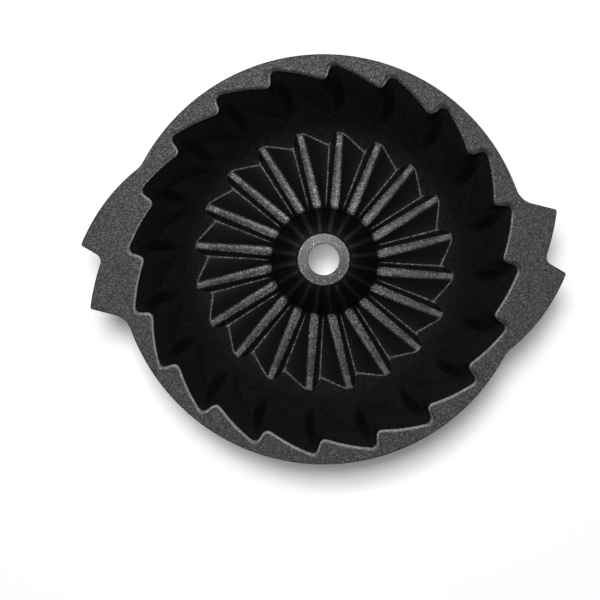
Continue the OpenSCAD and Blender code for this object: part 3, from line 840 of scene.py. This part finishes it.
class CAKEPAN_OT_rim_plate(bpy.types.Operator):
    """Add the flat rim with its saw-tooth mouth"""

    bl_idname = "cake_pan.rim_plate"
    bl_label = "Rim plate"

    def execute(self, context):
        form = Form(context.scene)
        wall_top = Shell(form).outside[0]
        e, b = form.e, form.b
        skin = Skin()
        mouth, inner_face = self.mouth_edge(skin, form)
        angles = np.unwrap(np.arctan2(mouth[:, 1], mouth[:, 0]))
        inset_r = b.rim_r - e.rim_edge
        outer, under = (raised(plan_circle(inset_r, angles), z) for z in (b.pan_h, form.plate_z))
        skin.strip(inner_face, outer, UP)
        skin.strip(outer, under, radial(outer))
        skin.strip(under, wall_top, DOWN)
        skin.strip(wall_top, mouth, DOWN)
        start, end = e.flank - e.flank_swing, e.heel + e.heel_swing
        for half_turn in (0.0, math.pi):
            outward = plan_circle(1.0, np.linspace(end + half_turn, start + math.pi + half_turn, RIM_POINTS))
            grid = bead(skin, form, outward * inset_r, outward)
            skin.strip(grid[0], grid[-1], -raised(outward, 0.0), closed=False)
        material = coat("rim_coat", flakes_share=1.0, rough=0.42, shine=0.10, grit=0.5)
        skin.piece("rim", material, "rim_coat", "rim_plate")
        return {"FINISHED"}

    def mouth_edge(self, skin, form):
        """The mouth's rounded edge and the face beside it. Returns the mouth and the face's last ring."""
        e, b = form.e, form.b
        mouth = form.wall_ring(1)
        ahead = np.roll(mouth, -1, axis=0) - np.roll(mouth, 1, axis=0)
        out = np.stack([ahead[:, 1], -ahead[:, 0], np.zeros(len(mouth))], axis=1)
        out /= np.linalg.norm(out, axis=1, keepdims=True)
        travel = np.concatenate([[0], np.cumsum(np.linalg.norm(np.diff(mouth, axis=0), axis=1))])
        tooth = travel[COLUMNS]
        from_root = np.abs((travel - travel[ROOT_STEPS // 2] + tooth / 2) % tooth - tooth / 2)
        at_root = (1 + np.cos(math.pi * np.clip(from_root / e.root_run, 0, 1))) / 2
        edge = mix(e.mouth_edge, e.root_edge, at_root)[:, None]
        # Share of the edge that faces the lamps and gets a painted highlight; the side away from them gets
        # painted shade
        bright = (1 - out[:, :2] @ LIT_SIDE) / 2
        pale = np.minimum(MOUTH_MOST, MOUTH_LEAST + MOUTH_GAIN * bright)
        dull = DULL_LOSS * np.maximum(0, 1 - 2 * bright)
        rows, normals, worn_and_lit = [mouth], [-out], [0 * at_root]
        for k in range(MOUTH_STEPS + 1):
            a = math.pi / 2 * k / MOUTH_STEPS
            ring = mouth + out * edge * (1 - math.cos(a))
            ring[:, 2] = b.pan_h - edge[:, 0] * (1 - math.sin(a))
            rows.append(ring)
            lean = a - MOUTH_DOME * k / MOUTH_STEPS
            normals.append(-out * math.cos(lean) + UP * math.sin(lean))
            rise = min(1.0, MOUTH_RISE * math.sin(a))
            worn_and_lit.append(pale * rise * (1 - ROOT_LOSS * at_root) - dull * math.sin(a) ** 2)
        for reach, lean, shaded_side_value, lit_side_value, dark in MOUTH_FACE:
            inner_face = mouth + out * edge * reach
            inner_face[:, 2] = b.pan_h
            rows.append(inner_face)
            normals.append(UP * math.cos(MOUTH_DOME * lean) - out * math.sin(MOUTH_DOME * lean))
            worn_and_lit.append(mix(shaded_side_value, lit_side_value, bright) - ROOT_SHADE * dark * at_root)
        skin.rings(np.array(rows), np.array(normals), np.array(worn_and_lit))
        return mouth, inner_face


# Points of a handle's edge: along its long and its short edge, and round a sharp and a wide corner
LONG_POINTS, SHORT_POINTS, SHARP_POINTS, WIDE_POINTS = 14, 6, 8, 12


def rounded(a, b, c, run, steps):
    """Points of a round corner at b, which starts a given run before it and ends as far after."""
    u, v = (a - b) / np.linalg.norm(a - b), (c - b) / np.linalg.norm(c - b)
    half = math.acos(float(np.clip(u @ v, -1, 1))) / 2
    r = run * math.tan(half)
    middle = b + (u + v) / np.linalg.norm(u + v) * r / math.sin(half)
    x, y = b + u * run - middle
    side = -math.copysign(1, u[0] * v[1] - u[1] * v[0])
    turns = side * (math.pi - 2 * half) * np.arange(steps + 1) / steps
    cos, sin = np.cos(turns), np.sin(turns)
    return middle + np.stack([x * cos - y * sin, x * sin + y * cos], axis=1)


def polar(reach, angle):
    """A point in plan."""
    return pair(reach * math.cos(angle), reach * math.sin(angle))


def winding(from_r, to_r, from_angle, to_angle, count, bow=0.0):
    """Points on an edge that winds outwards, and whose middle bulges by bow."""
    return np.array([polar(mix(from_r, to_r, k) + bow * 4 * k * (1 - k), mix(from_angle, to_angle, k))
                     for k in np.arange(count + 1) / count])


def handle_edge(form):
    """The right handle's outer edge in plan, from the rim to its long point, notch, short point and heel."""
    e, r = form.e, form.b.rim_r
    flank_run, heel_run = r * math.tan(e.flank_swing), r * math.tan(e.heel_swing)
    flank_r, long_r = r / math.cos(e.flank_swing), r + e.long_out
    long_edge = winding(flank_r, long_r, e.flank, e.long_point, LONG_POINTS, e.long_bow)
    short_edge = winding(r + e.notch_out, r + e.short_out, e.notch, e.short_point, SHORT_POINTS)
    heel = polar(r / math.cos(e.heel_swing), e.heel)
    start, finish = polar(r, e.flank - e.flank_swing), polar(r, e.heel + e.heel_swing)
    return np.concatenate([
        rounded(start, long_edge[0], long_edge[1], flank_run, SHARP_POINTS),
        long_edge[1:-1],
        rounded(long_edge[-2], long_edge[-1], short_edge[0], e.point_run, SHARP_POINTS),
        rounded(long_edge[-1], short_edge[0], short_edge[1], e.notch_run, WIDE_POINTS),
        short_edge[1:-1],
        rounded(short_edge[-2], short_edge[-1], heel, e.point_run, SHARP_POINTS),
        rounded(short_edge[-1], heel, finish, heel_run, WIDE_POINTS),
    ])


class CAKEPAN_OT_handles(bpy.types.Operator):
    """Add the two notched handles, which are level with the rim"""

    bl_idname = "cake_pan.handles"
    bl_label = "Handles"

    def execute(self, context):
        form = Form(context.scene)
        material = coat("handle_coat", flakes_share=1.0, rough=0.42, shine=0.10)
        for name, node, spin in (("right_grip", "right_handle", 1.0), ("left_grip", "left_handle", -1.0)):
            self.handle(form, spin, name, node, material)
        return {"FINISHED"}

    def handle(self, form, spin, name, node, material):
        """One handle: spin is 1 for the right one and -1 for its half-turned twin."""
        e, b = form.e, form.b
        edge = handle_edge(form) * spin
        ahead = np.gradient(edge, axis=0)
        outward = np.stack([ahead[:, 1], -ahead[:, 0]], axis=1)
        outward[[0, -1]] = edge[[0, -1]]
        outward /= np.linalg.norm(outward, axis=1, keepdims=True)
        inset = edge - outward * e.rim_edge
        skin = Skin()
        grid = bead(skin, form, inset, outward)
        start, end = (math.atan2(inset[k][1], inset[k][0]) for k in (0, -1))
        if start > end:
            start -= 2 * math.pi
        arc = plan_circle(b.rim_r - e.rim_edge, np.linspace(end, start, SEAM_POINTS))
        arc[0], arc[-1] = inset[-1], inset[0]
        for z, facing, row in ((b.pan_h, UP, 0), (form.plate_z, DOWN, -1)):
            skin.flat(np.concatenate([grid[row], raised(arc[1:-1], z)]), facing)
        skin.strip(raised(arc, b.pan_h), raised(arc, form.plate_z), -raised(arc, 0.0), closed=False)
        skin.piece(name, material, "rim_coat", node)


def bowl_region(context, part, name, node, material):
    """One region of the bowl from cut to cut: part 0 is the wall, 1 the floor and 2 the tube."""
    shell = Shell(Form(context.scene))
    cuts = (0, shell.foot, shell.hub, len(shell.inside) - 1)
    outer_cuts = (0, shell.outer_foot, shell.outer_hub, len(shell.outside) - 1)
    inner, outer = (slice(rows[part], rows[part + 1] + 1) for rows in (cuts, outer_cuts))
    inside, outside = shell.inside[inner], shell.outside[outer]
    skin = Skin()
    skin.rings(inside, shell.inside_normals[inner], shell.light_and_wear[inner])
    skin.rings(outside, shell.outside_normals[outer])
    skin.strip(inside[0], outside[0], UP if part == 0 else radial(inside[0]))
    skin.strip(inside[-1], outside[-1], UP if part == 2 else -radial(inside[-1]))
    skin.piece(name, material, "cavity_coat", node)
    return {"FINISHED"}


class CAKEPAN_OT_fluted_wall(bpy.types.Operator):
    """Add the wall with its flutes and the round corner below them"""

    bl_idname = "cake_pan.fluted_wall"
    bl_label = "Fluted wall"

    def execute(self, context):
        # Fewer pale flakes than the rim's coat: painted shade of the deep bowl
        material = coat("wall_coat", flakes_share=0.32, rough=0.45, shine=0.05, grit=0.3)
        return bowl_region(context, 0, "wall", "fluted_wall", material)


class CAKEPAN_OT_pleated_floor(bpy.types.Operator):
    """Add the floor with its ring of radial ridges"""

    bl_idname = "cake_pan.pleated_floor"
    bl_label = "Pleated floor"

    def execute(self, context):
        # Few pale flakes: painted shade of the deep floor
        material = coat("floor_coat", flakes_share=0.05, rough=0.42, shine=0.2, polish=0.35)
        return bowl_region(context, 1, "floor_pleats", "pleated_floor", material)


class CAKEPAN_OT_centre_tube(bpy.types.Operator):
    """Add the tapered hollow tube with its soft flutes"""

    bl_idname = "cake_pan.centre_tube"
    bl_label = "Centre tube"

    def execute(self, context):
        # Hardly any pale flakes: painted shade down the tube
        material = coat("tube_coat", flakes_share=0.02, rough=0.45, shine=0.05, grit=0.3)
        return bowl_region(context, 2, "tube", "centre_tube", material)


# How far the lip's flat ring leans outwards as light sees it
LIP_DOME = math.radians(8.5)
# Rings of its flat part: how far in, in roundings of the outer edge, and from the bore, in the bore's
LIP_FACE, BORE_FACE = (1.6, 2.6), 2
# Painted light of the lip's rings: shade round the outer edge, a highlight line where it meets the flat part,
# a weaker highlight across the flat part, and shade round and down the bore
LIP_LIGHT = (*[-1.0] * 5, -0.7, 0.3, 0.5, 0.35, 0.14, 0.13, -0.3, *[-0.7] * 5)
# The rings on its outer edge whose painted highlight is stronger to the left and right, and by how much
EDGE_RINGS, SIDE_HIGHLIGHT_GAIN = slice(7, 9), 1.2


class CAKEPAN_OT_tube_lip(bpy.types.Operator):
    """Add the flat ring round the hole in the top of the tube"""

    bl_idname = "cake_pan.tube_lip"
    bl_label = "Tube lip"

    def execute(self, context):
        form = Form(context.scene)
        shell = Shell(form)
        foot, hollow = shell.inside[-1], shell.outside[-1]
        angles = np.arctan2(foot[:, 1], foot[:, 0])
        rows = self.section(form)
        grid = np.array([raised(plan_circle(r, angles), z) for r, z, _, _ in rows])
        normals = np.array([raised(plan_circle(level, angles), up) for _, _, level, up in rows])
        grid[0] = foot
        # Painted light and shade of the lip, with a stronger highlight to the left and right
        worn_and_lit = np.repeat(np.array(LIP_LIGHT)[:, None], len(angles), axis=1)
        worn_and_lit[EDGE_RINGS] *= 1 + SIDE_HIGHLIGHT_GAIN * np.cos(angles) ** 2
        skin = Skin()
        skin.rings(grid, normals, worn_and_lit)
        skin.strip(grid[0], hollow, DOWN)
        skin.strip(hollow, grid[-1], DOWN)
        material = coat("lip_coat", flakes_share=1.0, rough=0.36, shine=0.5, rare=0.85)
        skin.piece("lip_ring", material, "lip_coat", "tube_lip")
        return {"FINISHED"}

    def section(self, form):
        """The lip in section, from the tube over its top and down the bore: radius, height, way it faces."""
        e, b = form.e, form.b
        slope = math.atan(form.tube_lean)
        rows = [(form.tube_r(form.lip_z), form.lip_z, math.cos(slope), math.sin(slope))]
        for k in range(LIP_STEPS + 1):
            a = mix(slope, math.pi / 2 - LIP_DOME, k / LIP_STEPS)
            r, z = b.tube_top_r - e.lip_edge * (1 - math.cos(a)), b.tube_h - e.lip_edge * (1 - math.sin(a))
            rows.append((r, z, math.cos(a), math.sin(a)))
        flat = [b.tube_top_r - reach * e.lip_edge for reach in LIP_FACE]
        for r in (*flat, b.bore_r + BORE_FACE * e.bore_edge):
            rows.append((r, b.tube_h, math.sin(LIP_DOME), math.cos(LIP_DOME)))
        for k in range(BORE_STEPS + 1):
            a = math.pi / 2 * k / BORE_STEPS
            r, z = b.bore_r + e.bore_edge * (1 - math.sin(a)), b.tube_h - e.bore_edge * (1 - math.cos(a))
            rows.append((r, z, -math.sin(a - LIP_DOME), math.cos(a - LIP_DOME)))
        return [*rows, (b.bore_r, form.lip_z, -1.0, 0.0)]


# Where the photograph's frame lies: pixels of a square picture, metres at the rim for each, and the camera
FRAME_PX = 600
PAN_CENTRE_PX = (323.6, 259.3)
METRES_PER_PX = 0.5255 * MM
CAMERA_DISTANCE = 0.98
CAMERA_PLACE = (6.0 * MM, -11.0 * MM)
SENSOR_WIDTH = 36.0
# Square lamps: place, side and watts
LAMPS = {
    "key_light": ((-0.055, 0.19, 1.60), 0.24, 20.0),
    "camera_light": ((-0.01, 0.06, 1.60), 0.2, 4.0),
}
STUDIO_LEVEL = 0.08
TABLE_HALF = 3.0
# A painted pool of light on the table under the hole: its middle, the distances between which it fades, and
# levels
GLOW_CENTRE = (16.0 * MM, -8.0 * MM, 0.0)
GLOW_RUN, GLOW_LEVELS = (12 * MM, 40 * MM), (0.38, 0.12)


class CAKEPAN_OT_stage(bpy.types.Operator):
    """Add the pale floor, the soft lights and the camera straight above the pan"""

    bl_idname = "cake_pan.stage"
    bl_label = "Stage"

    def execute(self, context):
        self.floor(context.scene.cake_pan_finish.floor)
        self.world()
        for name, (place, side, power) in LAMPS.items():
            self.lamp(name, place, side, power)
        self.camera(context.scene)
        context.scene.view_settings.view_transform = "Standard"
        return {"FINISHED"}

    def floor(self, colour):
        """A wide white sheet that keeps the pan's shadow and shows white to the camera and in reflections."""
        corners = [(x * TABLE_HALF, y * TABLE_HALF, 0) for x, y in ((-1, -1), (1, -1), (1, 1), (-1, 1))]
        mesh = bpy.data.meshes.new("table")
        mesh.from_pydata(corners, [], [(0, 1, 2, 3)])
        m = Finish("table_white")
        diffuse = m.node("ShaderNodeBsdfDiffuse", {}, {"Color": rgba(colour)})
        camera, glossy, clear = (m.node("ShaderNodeLightPath", output=f"Is {ray} Ray")
                                 for ray in ("Camera", "Glossy", "Transmission"))
        place = m.node("ShaderNodeTexCoord", output="Object")
        # A painted pool of light: the table glows stronger near the point under the tube's hole
        reach = m.node("ShaderNodeVectorMath", {"operation": "DISTANCE"}, {0: place, 1: GLOW_CENTRE}, "Value")
        shade = m.colours(reach.between(*GLOW_RUN), *(rgba((level,) * 3) for level in GLOW_LEVELS))
        glow = m.node("ShaderNodeEmission", {}, {"Color": shade, "Strength": camera + glossy + clear})
        mesh.materials.append(m.out(m.node("ShaderNodeAddShader", {}, {0: diffuse, 1: glow})))
        ob = bpy.data.objects.new("table", mesh)
        bpy.context.scene.collection.objects.link(ob)

    def world(self):
        """A dim even light from all round."""
        world = bpy.data.worlds.new("studio")
        world.use_nodes = True
        background = world.node_tree.nodes["Background"]
        background.inputs["Color"].default_value = (1, 1, 1, 1)
        background.inputs["Strength"].default_value = STUDIO_LEVEL
        bpy.context.scene.world = world

    def lamp(self, name, place, side, power):
        """A soft square light that faces the pan."""
        data = bpy.data.lights.new(name, "AREA")
        data.size, data.energy = side, power
        ob = bpy.data.objects.new(name, data)
        ob.location = place
        ob.rotation_euler = (Vector((0, 0, RIM_HIGH[2])) - Vector(place)).to_track_quat("-Z", "Y").to_euler()
        ob.visible_camera = False
        bpy.context.scene.collection.objects.link(ob)

    def camera(self, scene):
        """Nearly straight above the tube, with the pan placed in the frame as the photograph has it."""
        data = bpy.data.cameras.new("camera")
        width = FRAME_PX * METRES_PER_PX
        data.sensor_width = SENSOR_WIDTH
        data.lens = SENSOR_WIDTH * CAMERA_DISTANCE / width
        x, y = CAMERA_PLACE
        data.shift_x = (FRAME_PX / 2 - PAN_CENTRE_PX[0]) / FRAME_PX - x / width
        data.shift_y = (PAN_CENTRE_PX[1] - FRAME_PX / 2) / FRAME_PX - y / width
        ob = bpy.data.objects.new("camera", data)
        ob.location = (x, y, RIM_HIGH[2] + CAMERA_DISTANCE)
        scene.collection.objects.link(ob)
        scene.camera = ob


class CAKEPAN_PT_panel(bpy.types.Panel):
    """Lists the pan's pieces and its stage"""

    bl_idname = "CAKEPAN_PT_panel"
    bl_label = "Fluted cake pan"
    bl_space_type = "VIEW_3D"
    bl_region_type = "UI"
    bl_category = "Cake pan"

    def draw(self, context):
        for operator in OPERATORS:
            self.layout.operator(operator.bl_idname)
        for group in (context.scene.cake_pan_bowl, context.scene.cake_pan_flutes,
                      context.scene.cake_pan_edges, context.scene.cake_pan_finish):
            box = self.layout.box()
            for name in group.__annotations__:
                box.prop(group, name)


GROUPS = {"cake_pan_bowl": CakePanBowl, "cake_pan_flutes": CakePanFlutes,
          "cake_pan_edges": CakePanEdges, "cake_pan_finish": CakePanFinish}
OPERATORS = (CAKEPAN_OT_stage, CAKEPAN_OT_rim_plate, CAKEPAN_OT_handles, CAKEPAN_OT_fluted_wall,
             CAKEPAN_OT_pleated_floor, CAKEPAN_OT_centre_tube, CAKEPAN_OT_tube_lip)


def register():
    for cls in (*GROUPS.values(), *OPERATORS, CAKEPAN_PT_panel):
        bpy.utils.register_class(cls)
    for name, cls in GROUPS.items():
        setattr(bpy.types.Scene, name, bpy.props.PointerProperty(type=cls))


def unregister():
    for name in GROUPS:
        delattr(bpy.types.Scene, name)
    for cls in reversed((*GROUPS.values(), *OPERATORS, CAKEPAN_PT_panel)):
        bpy.utils.unregister_class(cls)


def main():
    register()
    bpy.ops.cake_pan.stage()
    bpy.ops.cake_pan.rim_plate()
    bpy.ops.cake_pan.handles()
    bpy.ops.cake_pan.fluted_wall()
    bpy.ops.cake_pan.pleated_floor()
    bpy.ops.cake_pan.centre_tube()
    bpy.ops.cake_pan.tube_lip()


if __name__ == "__main__":
    main()
